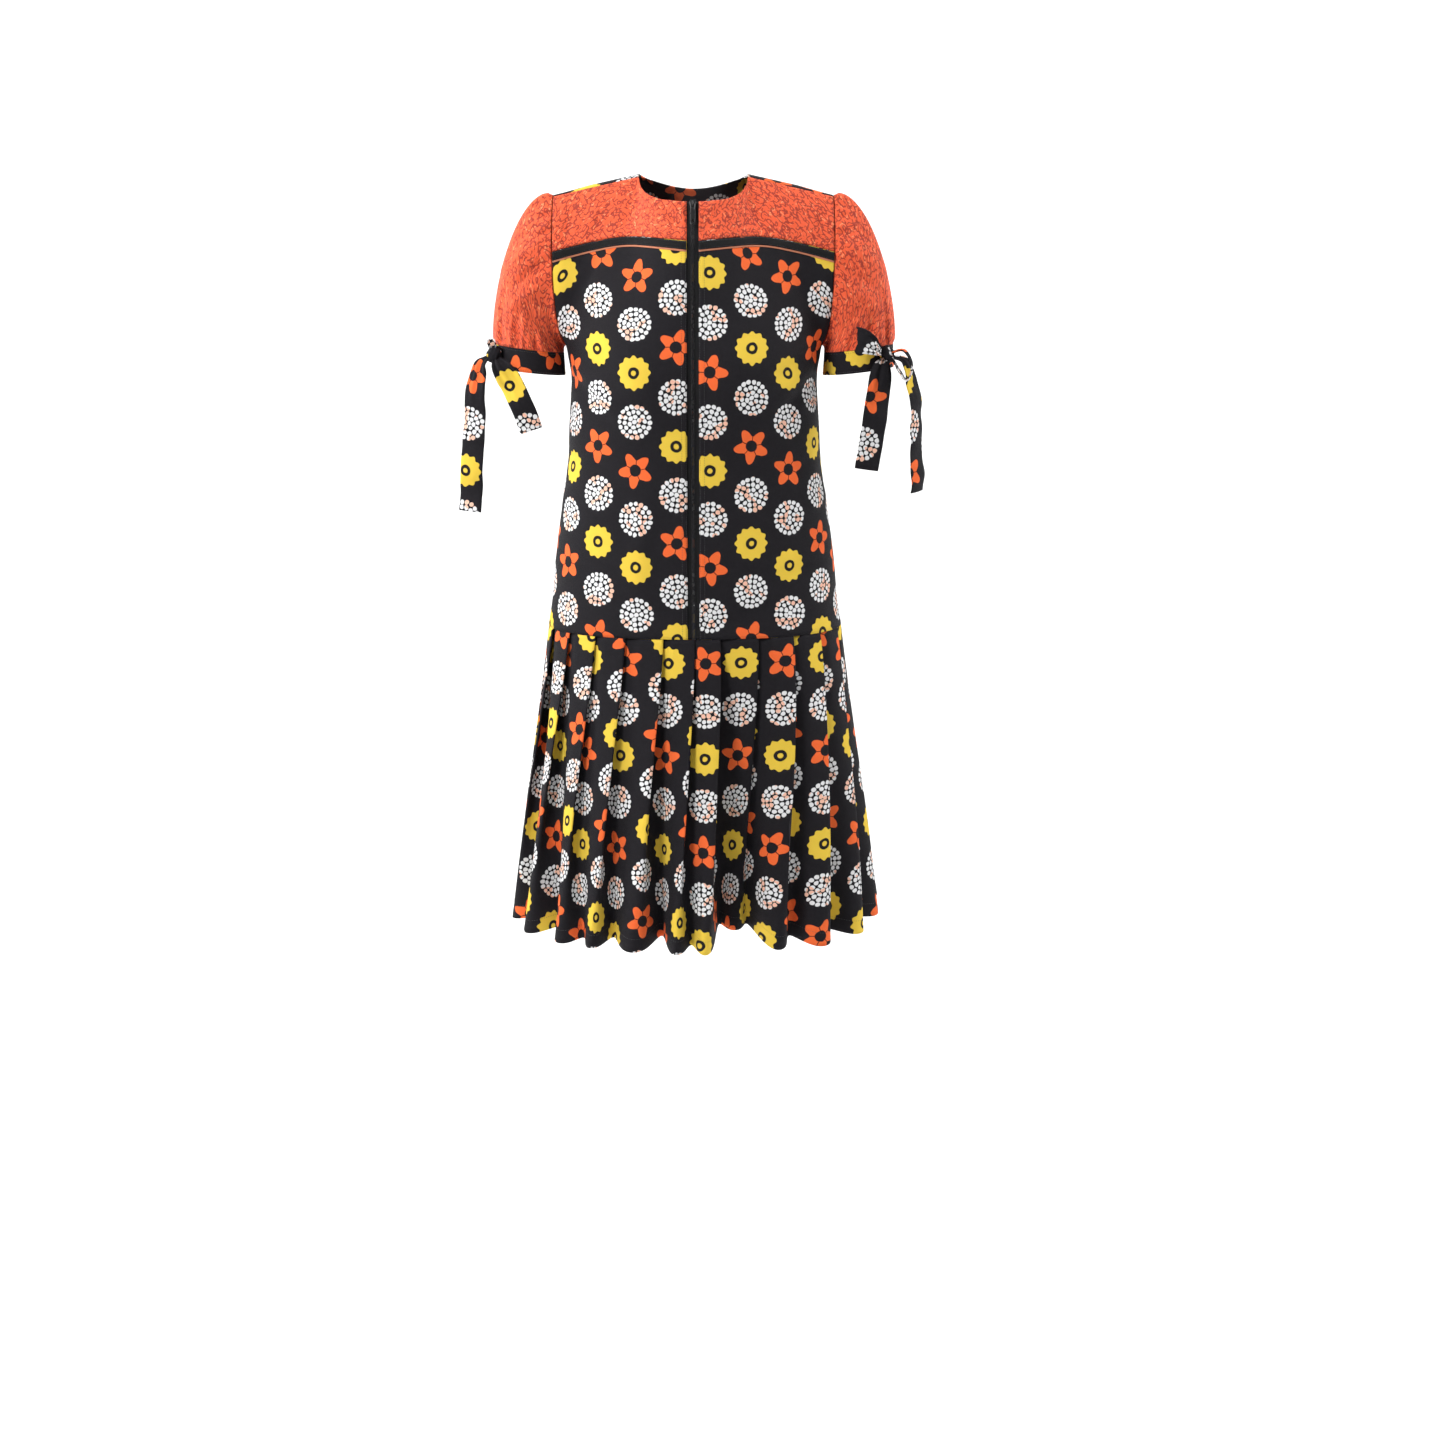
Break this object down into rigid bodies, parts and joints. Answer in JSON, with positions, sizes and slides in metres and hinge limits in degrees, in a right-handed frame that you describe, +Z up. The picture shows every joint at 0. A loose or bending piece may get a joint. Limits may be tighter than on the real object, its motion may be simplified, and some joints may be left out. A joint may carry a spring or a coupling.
{
  "type": "pleated dress",
  "caption": "Short-sleeved printed cotton dress as worn, with a zipped front, orange yoke and puffed sleeves, tied cuffs and a dropped knife-pleated skirt.",
  "frame": {"origin": "midway between the two neck points, on top of the wearer's shoulders, where the dress is held", "axes": "+Z up the wearer; the wearer faces -Y; +X towards the viewer's right as the viewer faces the dress"},
  "size_m": [0.6144, 0.3835, 0.9957],
  "materials": {
    "printed_cotton_black": "plain-woven cotton printed in orange, yellow and white on black, matt",
    "printed_cotton_orange": "plain-woven cotton with a small broken squiggle texture, matt",
    "cotton_trim_black": "folded black cotton band, matt",
    "zip_tape_black": "woven polyester tape with a fine rib, matt",
    "nylon_coil_black": "nylon coil, satin",
    "lacquered_zinc_black": "die-cast zinc lacquered black, satin"
  },
  "bodies": {
    "root": {"bodice_front_left": "printed_cotton_black", "bodice_front_right": "printed_cotton_black", "bodice_back": "printed_cotton_black", "yoke_left": "printed_cotton_orange", "yoke_right": "printed_cotton_orange", "yoke_trim_left": "cotton_trim_black", "yoke_trim_right": "cotton_trim_black", "skirt_front": "printed_cotton_black", "skirt_back": "printed_cotton_black", "sleeve_left": "printed_cotton_orange", "sleeve_right": "printed_cotton_orange", "cuff_left": "printed_cotton_black", "cuff_right": "printed_cotton_black", "knot_left": "printed_cotton_black", "knot_right": "printed_cotton_black", "tie_front_left": "printed_cotton_black", "tie_outer_left": "printed_cotton_black", "tie_ear_left": "printed_cotton_black", "tie_front_right": "printed_cotton_black", "tie_outer_right": "printed_cotton_black", "loop_outer_right": "printed_cotton_black", "loop_front_right": "printed_cotton_black", "zip_tape_left": "zip_tape_black", "zip_tape_right": "zip_tape_black", "zip_chain": "nylon_coil_black", "zip_slider": "lacquered_zinc_black"},
    "pull_tab": {"zip_pull_tab": "lacquered_zinc_black"}
  },
  "joints": [
    {"name": "pull_tab_hinge", "type": "hinge", "parent": "root", "child": "pull_tab", "pos_m": [0, -0.07948, -0.03124], "axis": [-1, 0, 0], "range_deg": [0, 170]}
  ]
}
